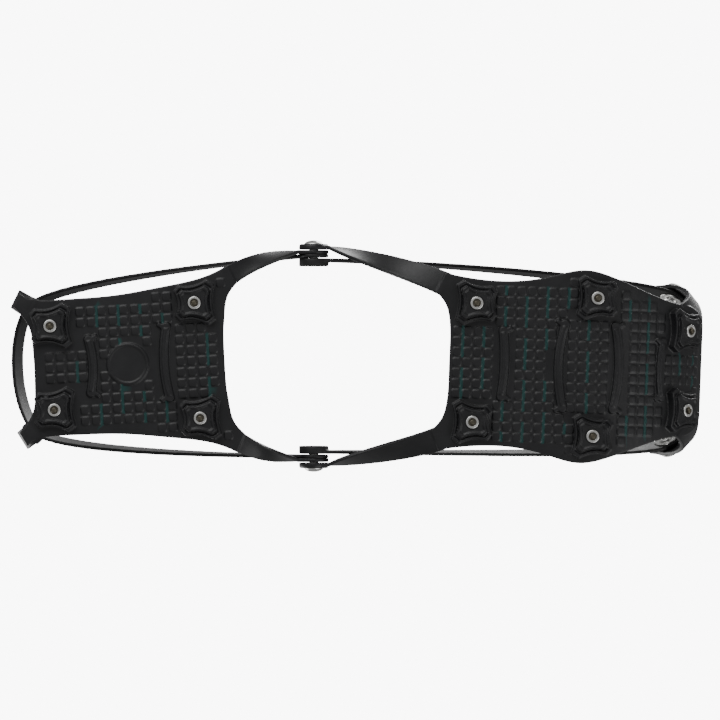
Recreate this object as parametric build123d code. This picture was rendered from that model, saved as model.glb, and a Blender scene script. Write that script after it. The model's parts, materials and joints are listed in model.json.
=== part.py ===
"""Slip-on ice traction for a right shoe, in millimetres.

Two studded plates lie under the shoe, one below the heel and one below the ball of the foot.
Each plate has four arms. The inner arms meet at two side rivets, which are the fold axis, and
the outer arms are riveted to a stretch harness that runs round the shoe's upper.

+X points to the toe, +Y to the inner side of the foot and +Z up. The studs stand on Z = 0.
A plate has its own frame, (u, v), with u along the plate towards the toe and v to the inner
side. Its origin is midway between the pair of studs nearest the waist of the shoe.
"""
from build123d import *
import os
from math import cos, radians, sin, sqrt

os.makedirs("parts", exist_ok=True)

# Levels, counted up from the ground
PIN_PROUD = 1.0
STUD_PROUD = 1.0
BOSS_HEIGHT = 4.0
PLATE_THICKNESS = 2.5
ARM_ROOT = 2.3
ARM_TIP = 1.5
SKIN = PIN_PROUD + STUD_PROUD + BOSS_HEIGHT
PLATE_MID = SKIN + PLATE_THICKNESS / 2

# Where each plate lies under the shoe
HEEL = Location((-68.8, 1.9, 0), (0, 0, -3.0))
FORE = Location((50.3, 2.8, 0), (0, 0, 2.2))

# Toe curl of the forefoot plate: an arc that starts at CURL_START and ends near the toe
CURL_START = 46.0
CURL_RADIUS = 61.5
CURL_END_ANGLE = 60.5

# Raised rests under the shoe, on the plates' upper sides, as (rear, front, half width)
REST_HEIGHT = 0.3
HEEL_REST = (-66.0, 8.0, 12.0)
FORE_REST = (-7.0, 44.0, 19.0)

# Studs as (distance along the plate, half spacing)
HEEL_STUDS = {"front": (0.0, 24.8), "rear": (-62.4, 18.05)}
FORE_STUDS = {"rear": (0.0, 25.6), "middle": (51.9, 29.7)}
TOE_STUD_ANGLE = 46.0
TOE_STUD_SPACING = 17.2
HOUSING_RADIUS = 2.8
FLANGE_RADIUS = 4.2
FLANGE_THICKNESS = 1.4
RECESS_RADIUS = 1.75
RECESS_DEPTH = 1.1
PIN_RADIUS = 1.05
PIN_LENGTH = 5.0
PIN_CHAMFER = 0.35

# Grip ridges as (distance along the plate or angle round the curl, half length, bow towards
# the toe)
HEEL_RIDGES = [(-46.4, 11.5, 1.4), (-12.7, 15.3, -1.7)]
FORE_RIDGES = [(11.9, 14.2, 1.0), (38.5, 18.1, -2.4)]
CURL_RIDGES = [(13.2, 17.8, 2.0), (34.7, 11.8, -1.3)]
RIDGE_WIDTH = 3.8
RIDGE_HEIGHT = 1.3

# Side rivets, whose common axis is the fold axis. Layers are counted inwards from the head.
FOLD_X = -18.9
FOLD_Z = 22.0
HEAD_SEAT = 47.7
LAYER = 1.6
LAYER_GAP = 0.3
HEAD_RADIUS = 4.25
HEAD_HEIGHT = 2.4
SHANK_RADIUS = 2.0
TURNING_BORE = 2.06
WASHER_RADIUS = 5.0
WASHER_THICKNESS = 0.8
PEEN_RADIUS = 3.1
PEEN_HEIGHT = 0.8
EYELET_RADIUS = 6.4
COLLAR_INNER = 4.8
COLLAR_HEIGHT = 0.8

# Rim that hides a side rivet's washer in the innermost eyelet
WELL_RADIUS = 5.2
WELL_DEPTH = 1.9

# Middle of each layer on a side rivet, out from the shoe's midplane
FORE_ARM_SEAT = HEAD_SEAT - LAYER / 2
HEEL_ARM_SEAT = FORE_ARM_SEAT - LAYER - LAYER_GAP
HEEL_BAND_SEAT = HEEL_ARM_SEAT - LAYER
TOE_BAND_SEAT = HEEL_BAND_SEAT - LAYER - LAYER_GAP
SIDE_GRIP = 4 * LAYER + 2 * LAYER_GAP

# Flat pads round the rivets at the ends of the shoe, on the arms and on the harness
PAD_RADIUS = 5.2
PAD_THICKNESS = 2.4
END_GRIP = 2 * PAD_THICKNESS

BAND_WIDTH = 11.0
BAND_THICKNESS = 1.5

# Course of the harness round each end of the shoe, inner side: its direction where the end
# rivet holds it, how far it keeps that direction, how much it rises there, and where it leaves
# the plane of the side rivet, as a distance along the shoe and a rise
TOE_COURSE = ((0.75, -0.6, 0.3), 14.5, 2.0, (45.0, 11.0))
HEEL_COURSE = ((-1.0, -1.0, 0.3), 16.0, 3.0, (-14.0, 9.5))

# Pull tab behind the heel, on a bend line across the top of the harness
TAB_WIDTH = 26.0
TAB_HEIGHT = 20.0
TAB_THICKNESS = 2.2
TAB_HOLE_RADIUS = 5.0
TAB_GAP = 0.3

SIDES = {"outer": -1, "inner": 1}


def at(frame, u, v, z):
    """World point of (u, v, z) in a plate's frame."""
    return (frame * Location((u, v, z))).position


def bezier(points, t):
    """Point at t on the cubic Bezier curve with four control points."""
    weights = ((1 - t) ** 3, 3 * t * (1 - t) ** 2, 3 * t ** 2 * (1 - t), t ** 3)
    total = Vector(0, 0, 0)
    for weight, point in zip(weights, points):
        total = total + Vector(point) * weight
    return total


def ribbon(edges, thicknesses, ruled=False):
    """Closed band through pairs of edge points, with its thickness at each pair."""
    middles = [(low + high) * 0.5 for low, high in edges]
    sections = []
    for i, (low, high) in enumerate(edges):
        ahead = middles[min(i + 1, len(edges) - 1)]
        behind = middles[max(i - 1, 0)]
        normal = (ahead - behind).cross(high - low).normalized() * (thicknesses[i] / 2)
        corners = [low - normal, high - normal, high + normal, low + normal]
        sections.append(Face(Wire.make_polygon(corners, close=True)))
    return loft(sections, ruled=ruled)


def arm(outer_edge, inner_edge, root_thickness, tip_thickness, stations=7):
    """Arm between two Bezier edges, from the plate to its rivet."""
    steps = [i / (stations - 1) for i in range(stations)]
    edges = [(bezier(inner_edge, t), bezier(outer_edge, t)) for t in steps]
    thicknesses = [root_thickness + (tip_thickness - root_thickness) * t for t in steps]
    return ribbon(edges, thicknesses)


def curl_point(angle, v, depth=0.0):
    """Point on the curled part of the forefoot plate, in its own frame, depth above its skin."""
    radius = CURL_RADIUS - depth
    return Vector(CURL_START + radius * sin(radians(angle)), v,
                  SKIN + CURL_RADIUS - radius * cos(radians(angle)))


def curl_height(u):
    """Height of the forefoot plate's lower face at u."""
    reach = max(u - CURL_START, 0)
    return SKIN + CURL_RADIUS - sqrt(CURL_RADIUS ** 2 - reach ** 2)


def seat(frame, u, v, angle=0.0, facing=1):
    """Place on a plate's lower face: z points out of the face, x towards the shoe's waist."""
    if angle:
        origin = curl_point(angle, v)
    else:
        origin = Vector(u, v, SKIN)
    outwards = Vector(sin(radians(angle)), 0, -cos(radians(angle)))
    along = Vector(cos(radians(angle)), 0, sin(radians(angle))) * facing
    return frame * Plane(origin, x_dir=along, z_dir=outwards).location


def mirrored_outline(half):
    """Face inside an outline given as edges on the +v side, closed by their mirror image."""
    return make_face(Wire(half + [edge.mirror(Plane.XZ) for edge in half]))


# ---------------------------------------------------------------- studs

def housing(place):
    """Turned stud housing: flange in the plate, shank through the boss, recessed tip."""
    tip = BOSS_HEIGHT + STUD_PROUD
    shank_length = tip + PLATE_THICKNESS - FLANGE_THICKNESS
    bottom = (Align.CENTER, Align.CENTER, Align.MIN)
    body = Pos(0, 0, -PLATE_THICKNESS) * Cylinder(FLANGE_RADIUS, FLANGE_THICKNESS, align=bottom)
    body += Pos(0, 0, FLANGE_THICKNESS - PLATE_THICKNESS) * Cylinder(
        HOUSING_RADIUS, shank_length, align=bottom)
    body -= Pos(0, 0, tip - RECESS_DEPTH) * Cylinder(RECESS_RADIUS, RECESS_DEPTH, align=bottom)
    body -= Pos(0, 0, tip + PIN_PROUD - PIN_LENGTH) * Cylinder(PIN_RADIUS, PIN_LENGTH, align=bottom)
    return place * body


def pin(place):
    """Hard pin pressed into the housing."""
    top = BOSS_HEIGHT + STUD_PROUD + PIN_PROUD
    body = Pos(0, 0, top - PIN_LENGTH / 2) * Cylinder(PIN_RADIUS, PIN_LENGTH)
    rim = body.edges().group_by(Axis.Z)[-1]
    return place * chamfer(rim, PIN_CHAMFER)


def housing_pocket(place):
    """Space that a housing fills in its plate and boss."""
    bottom = (Align.CENTER, Align.CENTER, Align.MIN)
    pocket = Pos(0, 0, -PLATE_THICKNESS - 2) * Cylinder(
        FLANGE_RADIUS, FLANGE_THICKNESS + 2, align=bottom)
    pocket += Pos(0, 0, -PLATE_THICKNESS) * Cylinder(
        HOUSING_RADIUS, BOSS_HEIGHT + PLATE_THICKNESS + 2, align=bottom)
    return place * pocket


def concave_outline(corners, sag):
    """Boss outline on the +y side: hollow edges between chamfered corners."""
    (wide_x, wide_y), (shoulder_x, shoulder_y), (hip_x, hip_y), (narrow_x, narrow_y) = corners
    side_middle = ((shoulder_x + hip_x) / 2 + 0.2 * sag, (shoulder_y + hip_y) / 2 - sag)
    half = [
        ThreePointArc((wide_x - sag, 0), (wide_x - 0.75 * sag, wide_y / 2), (wide_x, wide_y)),
        Line((wide_x, wide_y), (shoulder_x, shoulder_y)),
        ThreePointArc((shoulder_x, shoulder_y), side_middle, (hip_x, hip_y)),
        Line((hip_x, hip_y), (narrow_x, narrow_y)),
        ThreePointArc((narrow_x, narrow_y), (narrow_x + 0.75 * sag, narrow_y / 2),
                      (narrow_x + sag, 0)),
    ]
    return mirrored_outline(half)


def boss(place):
    """Two-step boss round a stud, widest towards the shoe's waist."""
    root = 2.2
    step_height = 2.6
    base = concave_outline([(8.7, 7.4), (5.6, 9.5), (-6.6, 7.4), (-8.5, 5.2)], 1.3)
    crown = concave_outline([(6.6, 5.5), (4.6, 7.0), (-5.2, 5.6), (-6.7, 4.1)], 1.0)
    body = Pos(0, 0, -root) * extrude(base, root + step_height)
    body += extrude(crown, BOSS_HEIGHT)
    return place * body


def ridge(place, half_length, bow):
    """Curved grip ridge across a plate, with a short hook at each end."""
    root = 0.8
    hook = 3.2
    half_width = RIDGE_WIDTH / 2
    turn = 1 if bow > 0 else -1
    path = ThreePointArc((0, -half_length), (bow, 0), (0, half_length))
    depth = RIDGE_HEIGHT + root
    bar = Pos(0, 0, -root) * extrude(make_face(offset(path, half_width).edges()), depth)
    for side in (-1, 1):
        end = Location((turn * hook / 2, side * half_length, RIDGE_HEIGHT - depth / 2),
                       (0, 0, turn * side * 35))
        bar += end * Box(hook + half_width, half_width, depth)
    return place * bar


# ---------------------------------------------------------------- plates

def rest(frame, rear, front, half_width):
    """Flat raised rest for the shoe, with rounded corners."""
    corner = 4.0
    outline = RectangleRounded(front - rear, 2 * half_width, corner)
    base = frame * Pos((front + rear) / 2, 0, PLATE_MID)
    return base * extrude(outline, PLATE_THICKNESS / 2 + REST_HEIGHT)


def heel_outline():
    """Half outline of the heel plate, from the middle of its rear edge round to its front."""
    return [
        Spline((-70.3, 0), (-70.5, 9.0), (-71.2, 16.5), (-73.7, 22.1), (-78.0, 27.1),
               tangents=((0, 1), (-1, 1))),
        Line((-78.0, 27.1), (-74.9, 33.0)),
        Spline((-74.9, 33.0), (-72.0, 30.8), (-65.7, 29.4), (-56.0, 29.3), (-34.5, 29.9),
               (-13.0, 32.6), (6.6, 36.5), (15.0, 40.4)),
        Line((15.0, 40.4), (18.6, 32.4)),
        Spline((18.6, 32.4), (14.2, 26.5), (12.6, 18.0), (11.7, 0), tangents=((-1, -1), (0, -1))),
    ]


def fore_outline():
    """Half outline of the forefoot plate, seen from above."""
    return [
        Spline((-10.9, 0), (-11.4, 18), (-13.2, 24.5), (-17.5, 29.8), tangents=((0, 1), (-1, 1))),
        Line((-17.5, 29.8), (-14.0, 38.2)),
        Spline((-14.0, 38.2), (-3.4, 36.4), (17.0, 35.8), (31.0, 38.2), (47.0, 41.6),
               (58.5, 39.0), (74.5, 32.7), (93.0, 28.0)),
        ThreePointArc((93.0, 28.0), (97.6, 24.6), (99.4, 19.0)),
        Line((99.4, 19.0), (99.4, 0)),
    ]


def fore_shell():
    """Forefoot plate in its own frame: flat, then curled up at the toe."""
    angle = CURL_END_ANGLE
    back = -40.0
    inner = PLATE_THICKNESS
    flat_end = Vector(CURL_START, 0, SKIN)
    lower_end = curl_point(angle, 0)
    upper_end = curl_point(angle, 0, inner)
    profile = Wire([
        Line(Vector(back, 0, SKIN), flat_end),
        ThreePointArc(flat_end, curl_point(angle / 2, 0), lower_end),
        Line(lower_end, upper_end),
        ThreePointArc(upper_end, curl_point(angle / 2, 0, inner),
                      Vector(CURL_START, 0, SKIN + inner)),
        Line(Vector(CURL_START, 0, SKIN + inner), Vector(back, 0, SKIN + inner)),
        Line(Vector(back, 0, SKIN + inner), Vector(back, 0, SKIN)),
    ])
    sheet = extrude(Face(profile), 60, dir=(0, 1, 0), both=True)
    return sheet & extrude(mirrored_outline(fore_outline()), 80)


def side_point(x, reach, z, side):
    """World point beside the shoe, reach out from the midplane."""
    return Vector(x, side * reach, z)


def eyelet_tab(side, seat_reach, heading):
    """Flat end of a side arm, from its eyelet's centre to just past the rim."""
    past_rim = 0.8
    length = EYELET_RADIUS + past_rim
    middle = side_point(FOLD_X + heading * length / 2, seat_reach, FOLD_Z, side)
    return Pos(middle) * Box(length, LAYER, BAND_WIDTH + 0.1)


def heel_front_arm(side):
    """Arm from the heel plate's front corner up to the side rivet."""
    rim = FOLD_X - EYELET_RADIUS
    top = FOLD_Z + BAND_WIDTH / 2
    foot = FOLD_Z - BAND_WIDTH / 2
    outer_edge = [at(HEEL, 11.5, side * 38.2, PLATE_MID), at(HEEL, 23.0, side * 45.5, 7.0),
                  side_point(rim - 9, HEEL_ARM_SEAT + 0.4, top - 0.5, side),
                  side_point(rim, HEEL_ARM_SEAT, top, side)]
    inner_edge = [at(HEEL, 13.0, side * 28.0, PLATE_MID), at(HEEL, 25.0, side * 38.5, 6.9),
                  side_point(rim - 8, HEEL_ARM_SEAT - 3.2, foot - 2.5, side),
                  side_point(rim, HEEL_ARM_SEAT, foot, side)]
    tab = eyelet_tab(side, HEEL_ARM_SEAT, -1)
    return arm(outer_edge, inner_edge, ARM_ROOT, ARM_TIP) + tab


def fore_rear_arm(side):
    """Arm from the forefoot plate's rear corner up to the side rivet."""
    rim = FOLD_X + EYELET_RADIUS
    top = FOLD_Z + BAND_WIDTH / 2
    foot = FOLD_Z - BAND_WIDTH / 2
    outer_edge = [at(FORE, -9.5, side * 37.0, PLATE_MID), at(FORE, -21.0, side * 42.5, 7.0),
                  side_point(rim + 9, FORE_ARM_SEAT + 0.4, top - 0.5, side),
                  side_point(rim, FORE_ARM_SEAT, top, side)]
    inner_edge = [at(FORE, -13.0, side * 27.0, PLATE_MID), at(FORE, -26.0, side * 33.5, 6.9),
                  side_point(rim + 8, FORE_ARM_SEAT - 4.8, foot - 2.5, side),
                  side_point(rim, FORE_ARM_SEAT, foot, side)]
    tab = eyelet_tab(side, FORE_ARM_SEAT, 1)
    return arm(outer_edge, inner_edge, ARM_ROOT, ARM_TIP) + tab


# Edges of the two arm shapes at the ends of the shoe, as (u, v, z) on the +v side
HEEL_REAR_OUTER = [(-66.0, 29.0, PLATE_MID), (-76.8, 35.2, 6.8), (-77.6, 36.5, 18.0),
                   (-68.5, 28.7, 52.0)]
HEEL_REAR_INNER = [(-71.5, 21.0, PLATE_MID), (-80.2, 27.6, 6.8), (-81.5, 28.8, 18.0),
                   (-75.0, 22.0, 52.0)]
TOE_OUTER = [(88.0, 28.4, curl_height(88.0) + 1.0), (95.5, 33.0, 33.0), (93.0, 38.0, 47.0),
             (79.0, 36.5, 61.0)]
TOE_INNER = [(98.0, 17.5, curl_height(98.0) + 0.4), (99.6, 26.0, 44.0), (97.5, 36.0, 56.0),
             (86.9, 29.5, 65.0)]


def end_arm(frame, outer_edge, inner_edge, side):
    """Arm from a plate's end corner up to the harness."""
    outer_points = [at(frame, u, side * v, z) for u, v, z in outer_edge]
    inner_points = [at(frame, u, side * v, z) for u, v, z in inner_edge]
    return arm(outer_points, inner_points, ARM_ROOT, ARM_TIP)


def end_rivet_plane(frame, outer_edge, inner_edge, side):
    """Plane on an end arm's outer face, near its tip, with z pointing off the shoe."""
    spot = 0.86
    step = 0.04
    outer_points = [at(frame, u, side * v, z) for u, v, z in outer_edge]
    inner_points = [at(frame, u, side * v, z) for u, v, z in inner_edge]

    def middle(t):
        return (bezier(outer_points, t) + bezier(inner_points, t)) * 0.5

    across = bezier(outer_points, spot) - bezier(inner_points, spot)
    along = middle(spot + step) - middle(spot - step)
    outwards = across.cross(along).normalized()
    if outwards.dot(middle(spot) - at(frame, 0, 0, middle(spot).Z)) < 0:
        outwards = outwards * -1
    return Plane(middle(spot) + outwards * (PAD_THICKNESS / 2), x_dir=across, z_dir=outwards)


HEEL_ENDS = {name: end_rivet_plane(HEEL, HEEL_REAR_OUTER, HEEL_REAR_INNER, side)
             for name, side in SIDES.items()}
TOE_ENDS = {name: end_rivet_plane(FORE, TOE_OUTER, TOE_INNER, side)
            for name, side in SIDES.items()}
SIDE_ENDS = {name: Plane((FOLD_X, side * HEAD_SEAT, FOLD_Z), x_dir=(1, 0, 0), z_dir=(0, side, 0))
             for name, side in SIDES.items()}


def eyelet(side, seat_reach, collar=False):
    """Round end of an arm or band on a side rivet."""
    disc = Plane((FOLD_X, side * seat_reach, FOLD_Z), x_dir=(1, 0, 0), z_dir=(0, side, 0)).location
    body = disc * Cylinder(EYELET_RADIUS, LAYER)
    if collar:
        ring = Cylinder(EYELET_RADIUS - 0.3, COLLAR_HEIGHT) - Cylinder(COLLAR_INNER, COLLAR_HEIGHT)
        body += disc * Pos(0, 0, (LAYER + COLLAR_HEIGHT) / 2) * ring
    return body


def pad(plane, depth):
    """Flat pad on a rivet's axis, its middle depth below the rivet's head."""
    return plane.location * Pos(0, 0, -depth) * Cylinder(PAD_RADIUS, PAD_THICKNESS)


def seated(body, planes, depth, radius):
    """Body with flat seats: clear above depth < 0 or below depth > 0 on each rivet's axis."""
    clear = 5.0
    direction = 1 if depth <= 0 else -1
    for plane in planes:
        body -= plane.location * Pos(0, 0, -depth + direction * clear / 2) * Cylinder(radius, clear)
    return body


def drilled(body, planes, radius):
    """Body with a hole of this radius through it on each rivet's axis."""
    for plane in planes:
        body -= plane.location * Cylinder(radius, 18)
    return body


def heel_plate():
    body = extrude(Pos(0, 0, SKIN) * mirrored_outline(heel_outline()), PLATE_THICKNESS)
    body = HEEL * body + rest(HEEL, *HEEL_REST)
    for place in heel_seats().values():
        body += boss(place)
    for u, half_length, bow in HEEL_RIDGES:
        body += ridge(seat(HEEL, u, 0), half_length, bow)
    for side in SIDES.values():
        body += heel_front_arm(side)
        body += eyelet(side, HEEL_ARM_SEAT)
        body += end_arm(HEEL, HEEL_REAR_OUTER, HEEL_REAR_INNER, side)
    for plane in HEEL_ENDS.values():
        body += pad(plane, PAD_THICKNESS / 2)
    for place in heel_seats().values():
        body -= housing_pocket(place)
    body = drilled(body, SIDE_ENDS.values(), TURNING_BORE)
    body = seated(body, HEEL_ENDS.values(), 0, HEAD_RADIUS)
    return drilled(body, HEEL_ENDS.values(), SHANK_RADIUS)


def forefoot_plate():
    body = FORE * fore_shell() + rest(FORE, *FORE_REST)
    for place in fore_seats().values():
        body += boss(place)
    for u, half_length, bow in FORE_RIDGES:
        body += ridge(seat(FORE, u, 0), half_length, bow)
    for angle, half_length, bow in CURL_RIDGES:
        body += ridge(seat(FORE, 0, 0, angle), half_length, bow)
    for side in SIDES.values():
        body += fore_rear_arm(side)
        body += eyelet(side, FORE_ARM_SEAT, collar=True)
        body += end_arm(FORE, TOE_OUTER, TOE_INNER, side)
    for plane in TOE_ENDS.values():
        body += pad(plane, PAD_THICKNESS / 2)
    for place in fore_seats().values():
        body -= housing_pocket(place)
    body = drilled(body, SIDE_ENDS.values(), SHANK_RADIUS)
    body = seated(body, SIDE_ENDS.values(), 0, HEAD_RADIUS)
    body = seated(body, TOE_ENDS.values(), 0, HEAD_RADIUS)
    return drilled(body, TOE_ENDS.values(), SHANK_RADIUS)


def heel_seats():
    """Stud places on the heel plate, by name."""
    places = {}
    for row, (u, spacing) in HEEL_STUDS.items():
        for name, side in SIDES.items():
            places[f"heel_{row}_{name}"] = seat(HEEL, u, side * spacing)
    return places


def fore_seats():
    """Stud places on the forefoot plate, by name."""
    places = {}
    for name, side in SIDES.items():
        for row, (u, spacing) in FORE_STUDS.items():
            places[f"forefoot_{row}_{name}"] = seat(FORE, u, side * spacing, facing=-1)
        places[f"forefoot_toe_{name}"] = seat(
            FORE, 0, side * TOE_STUD_SPACING, TOE_STUD_ANGLE, facing=-1)
    return places


# ---------------------------------------------------------------- harness

def band(path, first_normal, last_normal, stations):
    """Edge points of a band along a Bezier path, its face turning between two normals."""
    step = 0.01
    edges = []
    for i in range(stations + 1):
        t = i / stations
        along = bezier(path, t + step) - bezier(path, t - step)
        normal = Vector(first_normal) * (1 - t) + Vector(last_normal) * t
        across = normal.cross(along).normalized() * (BAND_WIDTH / 2)
        if across.Z < 0:
            across = across * -1
        middle = bezier(path, t)
        edges.append((middle - across, middle + across))
    return edges


def end_curves(ends, course):
    """Bezier points of the harness beyond each end rivet, and its direction there."""
    heading, reach, rise, _ = course
    curves = {}
    for name, side in SIDES.items():
        plane = ends[name]
        start = plane.origin - plane.z_dir * (1.5 * PAD_THICKNESS)
        turn = Vector(heading[0], side * heading[1], heading[2])
        turn = (turn - plane.z_dir * turn.dot(plane.z_dir)).normalized()
        curves[name] = (start, start + turn * reach + Vector(0, 0, rise), turn)
    return curves


def end_arc(curves):
    """Bezier points of the harness round the end of the shoe, from rivet to rivet."""
    return [curves["outer"][0], curves["outer"][1], curves["inner"][1], curves["inner"][0]]


def harness_half(seat_reach, ends, course):
    """Half of the harness, from one side rivet round an end of the shoe to the other."""
    end_handle = 14.0
    inset = 0.1
    stations = 20
    leave, climb = course[-1]
    curves = end_curves(ends, course)
    strands = {}
    for name, side in SIDES.items():
        rivet_point, _, turn = curves[name]
        strand = [side_point(FOLD_X, seat_reach, FOLD_Z, side),
                  side_point(FOLD_X + leave, seat_reach - inset, FOLD_Z + climb, side),
                  rivet_point - turn * end_handle, rivet_point]
        strands[name] = band(strand, (0, side, 0), ends[name].z_dir, stations)
    arc = band(end_arc(curves), ends["outer"].z_dir, ends["inner"].z_dir, stations)
    edges = strands["outer"] + arc[1:-1] + strands["inner"][::-1]
    body = ribbon(edges, [BAND_THICKNESS] * len(edges), ruled=True)
    for side in SIDES.values():
        body += eyelet(side, seat_reach)
    for plane in ends.values():
        body += pad(plane, 1.5 * PAD_THICKNESS)
    body = seated(body, ends.values(), END_GRIP, WASHER_RADIUS)
    return drilled(body, ends.values(), SHANK_RADIUS)


def harness_toe():
    """Front half of the harness, over the toe box."""
    body = harness_half(TOE_BAND_SEAT, TOE_ENDS, TOE_COURSE)
    for plane in SIDE_ENDS.values():
        rim = Cylinder(EYELET_RADIUS, WELL_DEPTH) - Cylinder(WELL_RADIUS, WELL_DEPTH)
        body += plane.location * Pos(0, 0, -SIDE_GRIP - WELL_DEPTH / 2) * rim
    body = seated(body, SIDE_ENDS.values(), SIDE_GRIP, WASHER_RADIUS)
    return drilled(body, SIDE_ENDS.values(), SHANK_RADIUS)


def harness_heel():
    """Rear half of the harness, round the heel."""
    body = harness_half(HEEL_BAND_SEAT, HEEL_ENDS, HEEL_COURSE)
    return drilled(body, SIDE_ENDS.values(), TURNING_BORE)


def pull_tab():
    """Finger tab that bends on the top edge of the harness behind the heel."""
    shoulder = TAB_HEIGHT - TAB_WIDTH / 2
    half = TAB_WIDTH / 2
    outline = [
        Line((0, 0), (0, half)),
        Line((0, half), (shoulder, half)),
        ThreePointArc((shoulder, half), (shoulder + half * sin(radians(45)), half * cos(radians(45))),
                      (TAB_HEIGHT, 0)),
    ]
    blade = extrude(mirrored_outline(outline), TAB_THICKNESS / 2, both=True)
    knuckle = Rot(90, 0, 0) * Cylinder(TAB_THICKNESS / 2, TAB_WIDTH)
    body = blade + knuckle - Pos(shoulder, 0, 0) * Cylinder(TAB_HOLE_RADIUS, 2 * TAB_THICKNESS)
    crown = bezier(end_arc(end_curves(HEEL_ENDS, HEEL_COURSE)), 0.5)
    bend = crown + Vector(0, 0, BAND_WIDTH / 2 + TAB_GAP + TAB_THICKNESS / 2)
    turn = Location((0, 0, 0), HEEL.orientation)
    upright = Plane((0, 0, 0), x_dir=(0, 0, 1), z_dir=(-1, 0, 0))
    return Pos(bend) * turn * upright.location * body


# ---------------------------------------------------------------- rivets

def rivet(plane, grip):
    """Domed rivet, closed over on the inside of the stack that it holds."""
    shank = grip + WASHER_THICKNESS
    dome_radius = (HEAD_RADIUS ** 2 + HEAD_HEIGHT ** 2) / (2 * HEAD_HEIGHT)
    top = (Align.CENTER, Align.CENTER, Align.MAX)
    dome = Pos(0, 0, HEAD_HEIGHT - dome_radius) * Sphere(dome_radius)
    dome &= Pos(0, 0, HEAD_HEIGHT / 2) * Box(20, 20, HEAD_HEIGHT)
    body = dome + Cylinder(SHANK_RADIUS, shank, align=top)
    body += Pos(0, 0, -shank) * Cylinder(PEEN_RADIUS, PEEN_HEIGHT, align=top)
    return plane.location * body


def washer(plane, grip):
    """Washer under the closed end of a rivet."""
    top = (Align.CENTER, Align.CENTER, Align.MAX)
    body = Cylinder(WASHER_RADIUS, WASHER_THICKNESS, align=top)
    body -= Cylinder(SHANK_RADIUS, WASHER_THICKNESS, align=top)
    return plane.location * Pos(0, 0, -grip) * body


def fasteners():
    """Every rivet and washer, by node name."""
    nodes = {}
    stacks = {"side": (SIDE_ENDS, SIDE_GRIP), "toe": (TOE_ENDS, END_GRIP),
              "heel": (HEEL_ENDS, END_GRIP)}
    for where, (planes, grip) in stacks.items():
        for name, plane in planes.items():
            nodes[f"{where}_rivet_{name}"] = rivet(plane, grip)
            nodes[f"{where}_washer_{name}"] = washer(plane, grip)
    return nodes


def relieved(plate, strap):
    """Plate with a shallow relief in each side arm, where the harness lies against it."""
    length = 24.0
    height = 30.0
    width = 2 * HEAD_SEAT
    beside = Pos(FOLD_X - length / 2, 0, FOLD_Z) * Box(length, width, height)
    return plate - (strap & beside)


def build():
    """Every sub-part, by node name."""
    rear_half = harness_heel()
    nodes = {
        "heel_plate": relieved(heel_plate(), rear_half),
        "forefoot_plate": forefoot_plate(),
        "harness_heel": rear_half,
        "harness_toe": harness_toe(),
        "pull_tab": pull_tab(),
    }
    for name, place in {**heel_seats(), **fore_seats()}.items():
        nodes[f"stud_{name}"] = housing(place)
        nodes[f"pin_{name}"] = pin(place)
    nodes.update(fasteners())
    return nodes


for node, shape in build().items():
    export_step(shape, f"parts/{node}.step")
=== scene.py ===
"""Looks of a slip-on ice traction device, built round its CAD frame. Lengths are in metres.

+X points to the toe, +Y to the inner side of the foot and +Z up. A plate has its own frame,
(u, v), with u along the plate towards the toe and v to the inner side.
"""

import json
from math import cos, pi, radians, sin

import bmesh
import bpy
import numpy as np
from mathutils import Matrix, Vector
from mathutils.bvhtree import BVHTree


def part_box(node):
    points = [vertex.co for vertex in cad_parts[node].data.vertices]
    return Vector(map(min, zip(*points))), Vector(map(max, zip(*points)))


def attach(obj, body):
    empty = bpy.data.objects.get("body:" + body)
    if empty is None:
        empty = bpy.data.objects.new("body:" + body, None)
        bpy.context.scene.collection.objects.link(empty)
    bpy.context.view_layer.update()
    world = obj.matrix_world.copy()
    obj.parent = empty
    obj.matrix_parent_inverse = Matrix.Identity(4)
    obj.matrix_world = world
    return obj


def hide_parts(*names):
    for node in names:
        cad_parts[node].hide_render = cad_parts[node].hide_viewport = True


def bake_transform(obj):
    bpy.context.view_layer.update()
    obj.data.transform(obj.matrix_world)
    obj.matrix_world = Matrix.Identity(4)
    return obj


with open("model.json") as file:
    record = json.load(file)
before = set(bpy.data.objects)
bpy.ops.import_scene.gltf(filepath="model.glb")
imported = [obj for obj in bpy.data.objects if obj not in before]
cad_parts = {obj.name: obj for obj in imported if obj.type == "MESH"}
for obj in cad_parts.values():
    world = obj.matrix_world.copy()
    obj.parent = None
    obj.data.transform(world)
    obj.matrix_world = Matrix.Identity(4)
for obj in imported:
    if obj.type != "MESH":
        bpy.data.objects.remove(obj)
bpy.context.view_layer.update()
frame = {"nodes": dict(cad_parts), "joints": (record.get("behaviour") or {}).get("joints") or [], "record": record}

MM = 0.001
UP = Vector((0, 0, 1))

# Moulded pieces, as (voxel, smoothing steps, share of the faces kept)
PLATE_MOULDING = (0.33 * MM, 2, 0.32)
BAND_MOULDING = (0.4 * MM, 8, 0.35)
TAB_MOULDING = (0.4 * MM, 5, 0.4)

# Plates and studs, counted out from the lower face of a plate
PLATE_THICKNESS = 2.5 * MM
BOSS_STEP = 2.6 * MM
BOSS_HEIGHT = 4.0 * MM
STUD_TIP = 5.0 * MM
PIN_TIP = 6.0 * MM
PIN_LENGTH = 5.0 * MM
REST_HEIGHT = 0.3 * MM
SKIN = frame["record"]["mounts"][0]["pos_m"][2] - REST_HEIGHT - PLATE_THICKNESS
CURL_START = 46.0 * MM
CURL_RADIUS = 61.5 * MM

# Knurled fields, as (first column, last column, pitch) along each plate
HEEL_FIELD = (-68.2 * MM, 12.0 * MM, 4.7 * MM)
FORE_FIELD = (-7.6 * MM, 112.0 * MM, 4.5 * MM)
KNURL_BASE = 3.7 * MM
KNURL_TOP = 3.3 * MM
KNURL_HEIGHT = 0.42 * MM
KNURL_OVERLAP = 0.35 * MM
KNURL_RIM = 1.3 * MM

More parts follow.
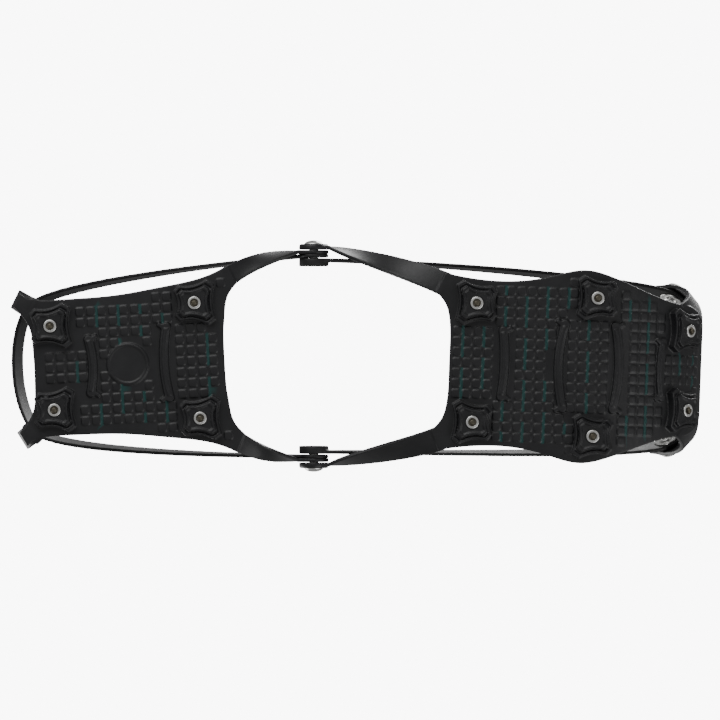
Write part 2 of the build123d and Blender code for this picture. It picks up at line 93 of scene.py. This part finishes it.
SIDES = ("outer", "inner")


# ---------------------------------------------------------------- places taken from the frame

def corners_of(node):
    """Vertices of a CAD node, as rows of an array."""
    mesh = frame["nodes"][node].data
    points = np.zeros(len(mesh.vertices) * 3)
    mesh.vertices.foreach_get("co", points)
    return points.reshape(-1, 3)


def middle(node):
    """Middle of a CAD node's box."""
    low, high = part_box(node)
    return (low + high) / 2


def main_axis(node, rank, towards):
    """Principal direction of a CAD node, longest for rank 0, pointing towards a vector."""
    points = corners_of(node)
    unique = np.unique(np.round(points, 6), axis=0)
    directions = np.linalg.svd(unique - unique.mean(axis=0), full_matrices=False)[2]
    axis = Vector(directions[rank]).normalized()
    return axis if axis.dot(towards) > 0 else -axis


def turned_place(origin, axis, along):
    """Matrix with z on a turned piece's axis and x as near as it can be to another direction."""
    x_axis = (along - axis * along.dot(axis)).normalized()
    y_axis = axis.cross(x_axis)
    place = Matrix((x_axis, y_axis, axis)).transposed().to_4x4()
    place.translation = origin
    return place


def row_middle(row):
    """Point on the ground midway between the two pins of a row."""
    point = (middle(f"pin_{row}_outer") + middle(f"pin_{row}_inner")) / 2
    return Vector((point.x, point.y, 0))


def plate_frame(origin_row, far_row, facing):
    """Matrix of a plate's own frame, from two rows of its pins."""
    origin = row_middle(origin_row)
    along = (row_middle(far_row) - origin) * facing
    return turned_place(origin, UP, along)


def stud_place(name, plate, facing):
    """Place of a stud on its plate's lower face: z out of the face, x towards the waist."""
    axis = main_axis(f"pin_{name}", 0, -UP)
    origin = middle(f"pin_{name}") - axis * (PIN_TIP - PIN_LENGTH / 2)
    along = plate.to_3x3() @ Vector((facing, 0, 0))
    return turned_place(origin, axis, along)


def rivet_place(where, side, grip):
    """Place of a rivet: its origin under the head, with z pointing off the shoe."""
    washer = f"{where}_washer_{side}"
    to_head = middle(f"{where}_rivet_{side}") - middle(washer)
    axis = main_axis(washer, 2, to_head)
    origin = middle(washer) + axis * (grip + WASHER_THICKNESS / 2)
    return turned_place(origin, axis, Vector((1, 0, 0)))


HEEL = plate_frame("heel_front", "heel_rear", -1)
FORE = plate_frame("forefoot_rear", "forefoot_middle", 1)


def skin_place(plate, s, v=0.0):
    """Place on a plate's lower face, s along the face: z out of it, x towards the toe."""
    reach = s - CURL_START if plate is FORE else 0
    angle = max(reach, 0) / CURL_RADIUS
    if angle > 0:
        origin = Vector((CURL_START + CURL_RADIUS * sin(angle), v,
                         SKIN + CURL_RADIUS - CURL_RADIUS * cos(angle)))
    else:
        origin = Vector((s, v, SKIN))
    outwards = Vector((sin(angle), 0, -cos(angle)))
    along = Vector((cos(angle), 0, sin(angle)))
    return plate @ turned_place(origin, outwards, along)


# ---------------------------------------------------------------- mesh helpers

def solid(parts):
    """One bmesh from (points, faces) parts."""
    mesh = bmesh.new()
    for points, faces in parts:
        corners = [mesh.verts.new(point) for point in points]
        for face in faces:
            mesh.faces.new([corners[i] for i in face])
    bmesh.ops.recalc_face_normals(mesh, faces=mesh.faces)
    return mesh


def prism(place, outline, low, high, top_scale=1.0):
    """Prism on a place's xy plane, its top outline scaled about the outline's middle."""
    count = len(outline)
    centre = Vector((sum(x for x, _ in outline) / count, sum(y for _, y in outline) / count))
    base = [place @ Vector((x, y, low)) for x, y in outline]
    top = [place @ Vector((centre.x + (x - centre.x) * top_scale,
                           centre.y + (y - centre.y) * top_scale, high)) for x, y in outline]
    walls = [(i, (i + 1) % count, count + (i + 1) % count, count + i) for i in range(count)]
    return base + top, walls + [tuple(range(count)), tuple(range(2 * count - 1, count - 1, -1))]


def ring_wall(place, outline, outer, inner, low, high):
    """Raised line that follows an outline, between two scales of it about the place's origin."""
    count = len(outline)
    points = [place @ Vector((x * scale, y * scale, z))
              for scale, z in ((outer, low), (outer, high), (inner, high), (inner, low))
              for x, y in outline]
    faces = []
    for ring in range(4):
        for i in range(count):
            here = ring * count
            there = (ring + 1) % 4 * count
            after = (i + 1) % count
            faces.append((here + i, here + after, there + after, there + i))
    return points, faces


def strip(place, path, width, low, high):
    """Bar of even width along a path on a place's xy plane."""
    count = len(path)
    points = []
    for i, here in enumerate(path):
        ahead = path[min(i + 1, count - 1)]
        behind = path[max(i - 1, 0)]
        across = Vector((behind.y - ahead.y, ahead.x - behind.x)).normalized() * (width / 2)
        for spot, z in ((here - across, low), (here + across, low),
                        (here + across, high), (here - across, high)):
            points.append(place @ Vector((spot.x, spot.y, z)))
    faces = [(0, 1, 2, 3), tuple(4 * (count - 1) + i for i in (3, 2, 1, 0))]
    for i in range(count - 1):
        for k in range(4):
            after = (k + 1) % 4
            faces.append((4 * i + k, 4 * i + 4 + k, 4 * i + 4 + after, 4 * i + after))
    return points, faces


def cad_copy(node):
    """Closed bmesh with the shape of a CAD node."""
    mesh = bmesh.new()
    mesh.from_mesh(frame["nodes"][node].data)
    bmesh.ops.remove_doubles(mesh, verts=mesh.verts, dist=0.002 * MM)
    return mesh


def cad_copy_with(node, parts):
    """Closed bmesh of a CAD node, with more closed (points, faces) parts laid into it."""
    shape = cad_copy(node)
    added = solid(parts)
    spare = bpy.data.meshes.new("spare")
    added.to_mesh(spare)
    added.free()
    shape.from_mesh(spare)
    bpy.data.meshes.remove(spare)
    return shape


def piece_from(name, mesh, material):
    """Object with this mesh and its material."""
    data = bpy.data.meshes.new(name)
    mesh.to_mesh(data)
    mesh.free()
    piece = bpy.data.objects.new(name, data)
    bpy.context.scene.collection.objects.link(piece)
    data.materials.clear()
    data.materials.append(material)
    return piece


def moulded(piece, moulding):
    """Rebuilds a piece as one skin with soft edges, as moulding leaves them."""
    voxel, smoothing, kept = moulding
    remesh = piece.modifiers.new("skin", "REMESH")
    remesh.mode = "VOXEL"
    remesh.voxel_size = voxel
    smooth = piece.modifiers.new("soften", "SMOOTH")
    smooth.factor = 0.5
    smooth.iterations = smoothing
    reduce = piece.modifiers.new("reduce", "DECIMATE")
    reduce.ratio = kept
    graph = bpy.context.evaluated_depsgraph_get()
    shape = bpy.data.meshes.new_from_object(piece.evaluated_get(graph))
    piece.modifiers.clear()
    piece.data = shape
    for face in shape.polygons:
        face.use_smooth = True


def filleted(corners, common):
    """Profile with its corners rounded, each over a length of its own or the common one."""
    steps = 5
    longest = 0.45
    points = []
    for i, corner in enumerate(corners):
        here = Vector(corner[:2])
        size = corner[2] if len(corner) > 2 else common
        if size == 0 or i in (0, len(corners) - 1):
            points.append(here)
            continue
        before = Vector(corners[i - 1][:2]) - here
        after = Vector(corners[i + 1][:2]) - here
        size = min(size, before.length * longest, after.length * longest)
        start = here + before.normalized() * size
        end = here + after.normalized() * size
        for k in range(steps + 1):
            t = k / steps
            points.append(start * (1 - t) ** 2 + here * 2 * t * (1 - t) + end * t ** 2)
    return points


def turned(name, place, profile, material):
    """Piece turned from a profile of (radius, height) points, closed or between axis points."""
    segments = 64
    on_axis = 1e-7
    sharp = radians(40)
    mesh = bmesh.new()
    rings = []
    for radius, height in profile:
        if radius < on_axis:
            rings.append([mesh.verts.new((0, 0, height))])
        else:
            rings.append([mesh.verts.new((radius * cos(2 * pi * i / segments),
                                          radius * sin(2 * pi * i / segments), height))
                          for i in range(segments)])
    for low, high in zip(rings, rings[1:]):
        for i in range(segments):
            after = (i + 1) % segments
            corners = [low[i % len(low)], low[after % len(low)],
                       high[after % len(high)], high[i % len(high)]]
            distinct = list(dict.fromkeys(corners))
            if len(distinct) > 2:
                mesh.faces.new(distinct)
    bmesh.ops.recalc_face_normals(mesh, faces=mesh.faces)
    piece = piece_from(name, mesh, material)
    for face in piece.data.polygons:
        face.use_smooth = True
    piece.data.set_sharp_from_angle(angle=sharp)
    piece.matrix_world = place
    return piece


# ---------------------------------------------------------------- materials

def node_material(name):
    """Empty node material: its tree, its principled shader and its object coordinates."""
    material = bpy.data.materials.new(name)
    material.use_nodes = True
    tree = material.node_tree
    shader = tree.nodes["Principled BSDF"]
    coordinates = tree.nodes.new("ShaderNodeTexCoord").outputs["Object"]
    return material, tree, shader, coordinates


def noise(tree, coordinates, scale, detail=4.0):
    """Noise texture on the object's own coordinates."""
    texture = tree.nodes.new("ShaderNodeTexNoise")
    texture.inputs["Scale"].default_value = scale
    texture.inputs["Detail"].default_value = detail
    texture.inputs["Roughness"].default_value = 0.55
    tree.links.new(coordinates, texture.inputs["Vector"])
    return texture.outputs["Fac"]


def ramp(tree, value, stops):
    """Colour ramp with (position, colour) stops."""
    node = tree.nodes.new("ShaderNodeValToRGB")
    elements = node.color_ramp.elements
    while len(elements) < len(stops):
        elements.new(0.5)
    for element, (position, colour) in zip(elements, stops):
        element.position = position
        element.color = (*colour, 1.0)
    tree.links.new(value, node.inputs["Fac"])
    return node.outputs["Color"]


def spread(tree, value, low, high):
    """Value brought from the middle of a noise's range to low and high."""
    node = tree.nodes.new("ShaderNodeMapRange")
    node.inputs["From Min"].default_value = 0.3
    node.inputs["From Max"].default_value = 0.7
    node.inputs["To Min"].default_value = low
    node.inputs["To Max"].default_value = high
    tree.links.new(value, node.inputs["Value"])
    return node.outputs["Result"]


def bump(tree, shader, height, strength, distance):
    """Bump on the shader, on top of any that it already has."""
    node = tree.nodes.new("ShaderNodeBump")
    node.inputs["Strength"].default_value = strength
    node.inputs["Distance"].default_value = distance
    tree.links.new(height, node.inputs["Height"])
    normal = shader.inputs["Normal"]
    if normal.is_linked:
        tree.links.new(normal.links[0].from_socket, node.inputs["Normal"])
    tree.links.new(node.outputs["Normal"], normal)


def polymer(name, dark, light, rough_low, rough_high, specular):
    """Moulded black plastic or rubber: slightly mottled, with a fine grain."""
    material, tree, shader, coordinates = node_material(name)
    mottle = noise(tree, coordinates, 260.0)
    tree.links.new(ramp(tree, mottle, [(0.32, dark), (0.68, light)]), shader.inputs["Base Color"])
    haze = noise(tree, coordinates, 90.0, 3.0)
    tree.links.new(spread(tree, haze, rough_low, rough_high), shader.inputs["Roughness"])
    shader.inputs["Specular IOR Level"].default_value = specular
    bump(tree, shader, noise(tree, coordinates, 1800.0, 3.0), 0.35, 0.02 * MM)
    bump(tree, shader, noise(tree, coordinates, 420.0, 2.0), 0.25, 0.05 * MM)
    return material


def tinted(material, attribute, tint):
    """Adds a tint where a piece's attribute says so."""
    # Sockets of a mix node that is set to colours
    colour_a, colour_b, mixed_colour = 6, 7, 2
    tree = material.node_tree
    shader = tree.nodes["Principled BSDF"]
    base = shader.inputs["Base Color"].links[0].from_socket
    mask = tree.nodes.new("ShaderNodeAttribute")
    mask.attribute_name = attribute
    mix = tree.nodes.new("ShaderNodeMix")
    mix.data_type = "RGBA"
    tree.links.new(mask.outputs["Fac"], mix.inputs["Factor"])
    tree.links.new(base, mix.inputs[colour_a])
    mix.inputs[colour_b].default_value = (*tint, 1.0)
    tree.links.new(mix.outputs[mixed_colour], shader.inputs["Base Color"])
    return material


def metal(name, dark, light, rough_low, rough_high, grain):
    """Turned or ground metal, with fine marks round its axis."""
    material, tree, shader, coordinates = node_material(name)
    shader.inputs["Metallic"].default_value = 1.0
    blotches = noise(tree, coordinates, 500.0)
    tree.links.new(ramp(tree, blotches, [(0.3, dark), (0.7, light)]), shader.inputs["Base Color"])
    tree.links.new(spread(tree, noise(tree, coordinates, 1500.0), rough_low, rough_high),
                   shader.inputs["Roughness"])
    rings = tree.nodes.new("ShaderNodeTexWave")
    rings.wave_type = "RINGS"
    rings.rings_direction = "Z"
    rings.inputs["Scale"].default_value = grain
    rings.inputs["Distortion"].default_value = 2.0
    rings.inputs["Detail"].default_value = 3.0
    tree.links.new(coordinates, rings.inputs["Vector"])
    bump(tree, shader, rings.outputs["Fac"], 0.15, 0.006 * MM)
    bump(tree, shader, noise(tree, coordinates, 2600.0, 3.0), 0.2, 0.006 * MM)
    return material


PLASTIC = polymer("plate_plastic", (0.006, 0.006, 0.0072), (0.009, 0.009, 0.0104), 0.4, 0.52, 0.5)
PLATE = tinted(PLASTIC, "fleck", (0.002, 0.042, 0.039))
RUBBER = polymer("harness_rubber", (0.011, 0.011, 0.0115), (0.0155, 0.0155, 0.016), 0.5, 0.66, 0.35)
ALUMINIUM = metal("stud_aluminium", (0.72, 0.72, 0.7), (0.86, 0.86, 0.84), 0.22, 0.38, 900.0)
CARBIDE = metal("pin_carbide", (0.1, 0.09, 0.068), (0.17, 0.155, 0.12), 0.4, 0.55, 1400.0)
# Darker metal for the floor of each stud's recess round the pin
DARK_RECESS_METAL = metal("stud_recess", (0.16, 0.145, 0.115), (0.27, 0.25, 0.21), 0.45, 0.6, 1200.0)
STEEL = metal("rivet_steel", (0.66, 0.66, 0.64), (0.8, 0.8, 0.78), 0.2, 0.36, 500.0)


# ---------------------------------------------------------------- plates

# The two steps of a boss: the corners on its +y side, and the sag of its hollow edges
BOSS_BASE = [(8.7 * MM, 7.4 * MM), (5.6 * MM, 9.5 * MM), (-6.6 * MM, 7.4 * MM), (-8.5 * MM, 5.2 * MM)]
BOSS_CROWN = [(6.6 * MM, 5.5 * MM), (4.6 * MM, 7.0 * MM), (-5.2 * MM, 5.6 * MM), (-6.7 * MM, 4.1 * MM)]
BASE_SAG = 1.3 * MM
CROWN_SAG = 1.0 * MM

# Grip ridges, as (distance along the plate or angle round the curl, half length, bow to the toe)
RIDGE_HEIGHT = 1.3 * MM
HEEL_RIDGES = [(-46.4 * MM, 11.5 * MM, 1.4 * MM), (-12.7 * MM, 15.3 * MM, -1.7 * MM)]
FORE_RIDGES = [(11.9 * MM, 14.2 * MM, 1.0 * MM), (38.5 * MM, 18.1 * MM, -2.4 * MM)]
CURL_RIDGES = [(radians(13.2), 17.8 * MM, 2.0 * MM), (radians(34.7), 11.8 * MM, -1.3 * MM)]

# Plain round pad in the middle of the heel's knurled field
DISC_U = -30.0 * MM
DISC_RADIUS = 9.0 * MM


def sagged(start, end, sag):
    """Points of a shallow arc from start up to end, hollow towards the origin."""
    steps = 8
    start, end = Vector(start), Vector(end)
    inwards = -((start + end) / 2).normalized()
    return [start.lerp(end, i / steps) + inwards * (4 * sag * (i / steps) * (1 - i / steps))
            for i in range(steps)]


def boss_outline(corners, sag):
    """Outline of a step of a boss: hollow edges between chamfered corners."""
    wide, shoulder, hip, narrow = corners
    mirrored = [(x, -y) for x, y in corners]
    outline = [Vector(wide)]
    outline += sagged(shoulder, hip, sag)
    outline += [Vector(hip)]
    outline += sagged(narrow, mirrored[3], sag)
    outline += [Vector(mirrored[3])]
    outline += sagged(mirrored[2], mirrored[1], sag)
    outline += [Vector(mirrored[1])]
    outline += sagged(mirrored[0], wide, sag)
    return outline


def boss_details(place):
    """Raised lines round both steps of a boss."""
    base = boss_outline(BOSS_BASE, BASE_SAG)
    crown = boss_outline(BOSS_CROWN, CROWN_SAG)
    line = 0.6 * MM
    return [ring_wall(place, base, 1.01, 0.87, BOSS_STEP - line, BOSS_STEP + line),
            ring_wall(place, crown, 1.01, 0.8, BOSS_HEIGHT - line, BOSS_HEIGHT + line)]


def ridge_details(place, half_length, bow):
    """Narrow crest along a grip ridge."""
    steps = 16
    width = 1.4 * MM
    proud = 0.45 * MM
    share = 0.94
    path = []
    for i in range(steps + 1):
        t = 2 * i / steps - 1
        path.append(Vector((bow * (1 - t * t), t * half_length * share)))
    return [strip(place, path, width, RIDGE_HEIGHT / 2, RIDGE_HEIGHT + proud)]


def disc_details(place):
    """Plain round pad with a raised rim."""
    segments = 48
    root = 0.5 * MM
    pad_height = 0.35 * MM
    rim_height = 0.65 * MM
    turns = [2 * pi * i / segments for i in range(segments)]
    circle = [Vector((DISC_RADIUS * cos(turn), DISC_RADIUS * sin(turn))) for turn in turns]
    return [prism(place, circle, -root, pad_height),
            ring_wall(place, circle, 1.0, 0.88, -root, rim_height)]


def proudness(tree, plate, s, v):
    """How far the CAD plate stands out from its skin at a place, or None where it ends."""
    reach = 8.0 * MM
    place = skin_place(plate, s, v)
    outwards = place.to_3x3() @ UP
    distance = tree.ray_cast(place.translation + outwards * reach, -outwards, 2 * reach)[3]
    return None if distance is None else reach - distance


def takes_pad(tree, plate, s, v):
    """True where a knurl pad has flat skin under it and plate all round it."""
    flat = 0.12 * MM
    close = KNURL_BASE / 2 - KNURL_OVERLAP
    wide = KNURL_BASE / 2 + KNURL_RIM
    for x in (-1, 0, 1):
        for y in (-1, 0, 1):
            near = proudness(tree, plate, s + x * close, v + y * close)
            if near is None or abs(near) > flat:
                return False
            far = proudness(tree, plate, s + x * wide, v + y * wide)
            if far is None or far < -flat:
                return False
    if plate is HEEL:
        return Vector((s - DISC_U, v)).length > DISC_RADIUS + KNURL_BASE / 2 - KNURL_OVERLAP
    return True


def knurl_cells(node, plate, field):
    """Grid cells of a plate's knurled field that hold a pad, as {(column, row): (s, v)}."""
    first, last, pitch = field
    mesh = cad_copy(node)
    tree = BVHTree.FromBMesh(mesh)
    mesh.free()
    half_rows = 9
    cells = {}
    for column in range(int((last - first) / pitch) + 1):
        for row in range(-half_rows, half_rows + 1):
            s = first + column * pitch
            v = row * pitch
            if takes_pad(tree, plate, s, v):
                cells[column, row] = (s, v)
    return cells


def knurl_pad(plate, s, v):
    """One square pad of the knurled field."""
    half = KNURL_BASE / 2
    nick = 0.5 * MM
    root = 0.6 * MM
    square = [Vector(p) for p in ((half - nick, -half), (half, nick - half), (half, half - nick),
                                  (half - nick, half), (nick - half, half), (-half, half - nick),
                                  (-half, nick - half), (nick - half, -half))]
    return prism(skin_place(plate, s, v), square, -root, KNURL_HEIGHT, KNURL_TOP / KNURL_BASE)


def fleck_grooves(piece, plate, cells, pitch):
    """Marks the groove beside every second column of pads, with breaks, for the tint."""
    half_width = 0.64 * MM
    depth = 0.4 * MM
    inverse = plate.inverted()
    attribute = piece.data.attributes.new("fleck", "FLOAT", "POINT")
    first = min(s for s, _ in cells.values())
    values = []
    for vertex in piece.data.vertices:
        local = inverse @ vertex.co
        s, out = local.x, SKIN - local.z
        if plate is FORE and local.x > CURL_START:
            offset = Vector((local.x - CURL_START, SKIN + CURL_RADIUS - local.z))
            s = CURL_START + CURL_RADIUS * offset.angle(Vector((0, 1)), 0.0)
            out = offset.length - CURL_RADIUS
        place = (s - first) / pitch - 0.5
        column, row = round(place), round(local.y / pitch)
        near = abs(place - column) * pitch < half_width and abs(out) < depth
        paired = (column, row) in cells and (column + 1, row) in cells
        unbroken = column % 2 == 0 and (row + column // 2) % 4 > 0
        values.append(1.0 if near and paired and unbroken else 0.0)
    attribute.data.foreach_set("value", values)


def plate_piece(node, body, plate, details, field):
    """A plate with its knurled field and the details of its bosses and ridges."""
    cells = knurl_cells(node, plate, field)
    pads = [knurl_pad(plate, s, v) for s, v in cells.values()]
    shape = cad_copy_with(node, details + pads)
    piece = piece_from(f"{node}_moulding", shape, PLATE)
    moulded(piece, PLATE_MOULDING)
    fleck_grooves(piece, plate, cells, field[-1])
    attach(piece, body)
    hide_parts(node)


def heel_plate():
    """Heel plate, with its round pad, four bosses and two ridges."""
    details = disc_details(skin_place(HEEL, DISC_U))
    for row in ("front", "rear"):
        for side in SIDES:
            details += boss_details(stud_place(f"heel_{row}_{side}", HEEL, 1))
    for s, half_length, bow in HEEL_RIDGES:
        details += ridge_details(skin_place(HEEL, s), half_length, bow)
    plate_piece("heel_plate", "heel", HEEL, details, HEEL_FIELD)


def forefoot_plate():
    """Forefoot plate, with its six bosses and four ridges."""
    details = []
    for row in ("rear", "middle", "toe"):
        for side in SIDES:
            details += boss_details(stud_place(f"forefoot_{row}_{side}", FORE, -1))
    for s, half_length, bow in FORE_RIDGES:
        details += ridge_details(skin_place(FORE, s), half_length, bow)
    for angle, half_length, bow in CURL_RIDGES:
        s = CURL_START + CURL_RADIUS * angle
        details += ridge_details(skin_place(FORE, s), half_length, bow)
    plate_piece("forefoot_plate", "forefoot", FORE, details, FORE_FIELD)


# ---------------------------------------------------------------- harness and tab

def harness_piece(node, body):
    """Half of the harness, with the soft edges of moulded rubber."""
    piece = piece_from(f"{node}_moulding", cad_copy(node), RUBBER)
    moulded(piece, BAND_MOULDING)
    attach(piece, body)
    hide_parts(node)


def pull_tab():
    """Finger tab, with the root that joins it to the harness."""
    joint = next(j for j in frame["joints"] if j["name"] == "pull_tab_flex")
    bend = Vector(joint["pos_m"])
    axis = Vector(joint["axis"])
    root_depth = 3.2 * MM
    root_top = 0.6 * MM
    half_thickness = 1.1 * MM
    half_width = 12.6 * MM
    place = turned_place(bend, UP, axis)
    outline = [Vector((-half_width, -half_thickness)), Vector((half_width, -half_thickness)),
               Vector((half_width, half_thickness)), Vector((-half_width, half_thickness))]
    shape = cad_copy_with("pull_tab", [prism(place, outline, -root_depth, root_top)])
    piece = piece_from("pull_tab_moulding", shape, RUBBER)
    moulded(piece, TAB_MOULDING)
    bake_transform(piece)
    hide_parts("pull_tab")


# ---------------------------------------------------------------- studs and rivets

HOUSING_RADIUS = 2.8 * MM
RECESS_RADIUS = 1.75 * MM
RECESS_DEPTH = 1.1 * MM
PIN_RADIUS = 1.05 * MM
FLANGE_RADIUS = 4.2 * MM
FLANGE_THICKNESS = 1.4 * MM
HEAD_RADIUS = 4.25 * MM
HEAD_HEIGHT = 2.4 * MM
HEAD_LIP = 0.5 * MM
SHANK_RADIUS = 2.0 * MM
PEEN_RADIUS = 3.1 * MM
PEEN_HEIGHT = 0.8 * MM
WASHER_RADIUS = 5.0 * MM
WASHER_THICKNESS = 0.8 * MM
SIDE_GRIP = 7.0 * MM
END_GRIP = 4.8 * MM


def stud(name, body, plate, facing):
    """Housing and hard pin of one stud."""
    place = stud_place(name, plate, facing)
    flange_low = FLANGE_THICKNESS - PLATE_THICKNESS
    housing_profile = filleted([
        (0, PIN_TIP - PIN_LENGTH), (PIN_RADIUS, PIN_TIP - PIN_LENGTH, 0),
        (PIN_RADIUS, STUD_TIP - RECESS_DEPTH, 0.1 * MM),
        (RECESS_RADIUS, STUD_TIP - RECESS_DEPTH, 0.25 * MM), (RECESS_RADIUS, STUD_TIP, 0.18 * MM),
        (HOUSING_RADIUS, STUD_TIP, 0.4 * MM), (HOUSING_RADIUS, flange_low, 0),
        (FLANGE_RADIUS, flange_low), (FLANGE_RADIUS, -PLATE_THICKNESS),
        (0, -PLATE_THICKNESS)], 0.12 * MM)
    housing = turned(f"housing_{name}", place, housing_profile, ALUMINIUM)
    housing.data.materials.append(DARK_RECESS_METAL)
    margin = 0.02 * MM
    # Faces on the recess floor round the pin take the darker metal
    for face in housing.data.polygons:
        inside = face.center.xy.length < RECESS_RADIUS - margin
        face.material_index = 1 if inside and face.center.z > 0 else 0
    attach(housing, body)
    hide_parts(f"stud_{name}")
    pin_profile = filleted([
        (0, PIN_TIP - PIN_LENGTH), (PIN_RADIUS, PIN_TIP - PIN_LENGTH, 0),
        (PIN_RADIUS, PIN_TIP, 0.38 * MM), (0, PIN_TIP)], 0)
    hard_pin = turned(f"hard_{name}", place, pin_profile, CARBIDE)
    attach(hard_pin, body)
    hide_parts(f"pin_{name}")


def rivet(where, side, grip, body):
    """Domed rivet with a thin lip, rolled over its washer at the far end."""
    place = rivet_place(where, side, grip)
    steps = 12
    taper = 0.02
    dome = []
    for i in range(steps + 1):
        turn = i / steps * pi / 2
        dome.append((HEAD_RADIUS * sin(turn) * (1 - taper * i / steps),
                     HEAD_LIP + (HEAD_HEIGHT - HEAD_LIP) * cos(turn), 0))
    seat = -grip - WASHER_THICKNESS
    hollow_floor = seat + 0.5 * MM
    profile = filleted(dome + [
        (HEAD_RADIUS, 0, 0.15 * MM), (SHANK_RADIUS, 0, 0), (SHANK_RADIUS, seat, 0),
        (PEEN_RADIUS, seat, 0.3 * MM), (PEEN_RADIUS * 0.86, seat - PEEN_HEIGHT, 0.4 * MM),
        (PEEN_RADIUS * 0.5, seat - PEEN_HEIGHT, 0.25 * MM),
        (PEEN_RADIUS * 0.42, hollow_floor, 0.2 * MM), (0, hollow_floor)], 0.1 * MM)
    piece = turned(f"{where}_head_{side}", place, profile, STEEL)
    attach(piece, body)
    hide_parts(f"{where}_rivet_{side}")
    ring_profile = filleted([
        (SHANK_RADIUS, -grip), (WASHER_RADIUS, -grip, 0.2 * MM),
        (WASHER_RADIUS, seat, 0.2 * MM), (SHANK_RADIUS, seat), (SHANK_RADIUS, -grip)], 0)
    ring = turned(f"{where}_ring_{side}", place, ring_profile, STEEL)
    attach(ring, body)
    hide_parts(f"{where}_washer_{side}")


def hardware():
    """Every stud, rivet and washer."""
    for side in SIDES:
        for row in ("front", "rear"):
            stud(f"heel_{row}_{side}", "heel", HEEL, 1)
        for row in ("rear", "middle", "toe"):
            stud(f"forefoot_{row}_{side}", "forefoot", FORE, -1)
        rivet("side", side, SIDE_GRIP, "forefoot")
        rivet("toe", side, END_GRIP, "forefoot")
        rivet("heel", side, END_GRIP, "heel")


# ---------------------------------------------------------------- light and camera

def light(name, place, target, size, power):
    """Soft square light that faces a target."""
    lamp = bpy.data.lights.new(name, "AREA")
    lamp.size = size
    lamp.energy = power
    item = bpy.data.objects.new(name, lamp)
    item.location = place
    item.rotation_euler = (Vector(target) - Vector(place)).to_track_quat("-Z", "Y").to_euler()
    bpy.context.scene.collection.objects.link(item)


def studio():
    """White surroundings and soft lights, below for the studded side and above for the rest."""
    white = (1.0, 1.0, 1.0, 1.0)
    backdrop_strength = 9.0
    glow_strength = 0.3
    world = bpy.data.worlds.new("studio")
    world.use_nodes = True
    tree = world.node_tree
    seen = tree.nodes["Background"]
    seen.inputs["Color"].default_value = white
    seen.inputs["Strength"].default_value = backdrop_strength
    glow = tree.nodes.new("ShaderNodeBackground")
    glow.inputs["Color"].default_value = white
    glow.inputs["Strength"].default_value = glow_strength
    path = tree.nodes.new("ShaderNodeLightPath")
    mix = tree.nodes.new("ShaderNodeMixShader")
    tree.links.new(path.outputs["Is Camera Ray"], mix.inputs[0])
    tree.links.new(glow.outputs[0], mix.inputs[1])
    tree.links.new(seen.outputs[0], mix.inputs[2])
    tree.links.new(mix.outputs[0], tree.nodes["World Output"].inputs["Surface"])
    bpy.context.scene.world = world
    light("key_below", (-0.35, -0.75, -0.6), (0, 0, 0), 0.9, 7.0)
    light("fill_below", (0.7, 0.6, -0.5), (0, 0, 0), 0.9, 4.5)
    light("key_above", (0.5, -0.7, 0.9), (0, 0, 0.02), 0.8, 16.0)
    light("fill_above", (-0.8, 0.6, 0.6), (0, 0, 0.02), 0.8, 8.0)


def camera():
    """Camera straight below the device, looking up at its studs, with the toe to the right."""
    width_at_sole = 309.6 * MM
    aim_x = 1.1 * MM
    aim_y = 1.7 * MM
    lens = bpy.data.cameras.new("camera")
    lens.lens = 300.0
    lens.sensor_width = 36.0
    distance = width_at_sole * lens.lens / lens.sensor_width
    item = bpy.data.objects.new("camera", lens)
    item.location = (aim_x, aim_y, SKIN - distance)
    item.rotation_euler = Matrix(((1, 0, 0), (0, -1, 0), (0, 0, -1))).to_euler()
    bpy.context.scene.collection.objects.link(item)
    bpy.context.scene.camera = item


heel_plate()
forefoot_plate()
harness_piece("harness_heel", "heel")
harness_piece("harness_toe", "forefoot")
pull_tab()
hardware()
studio()
camera()
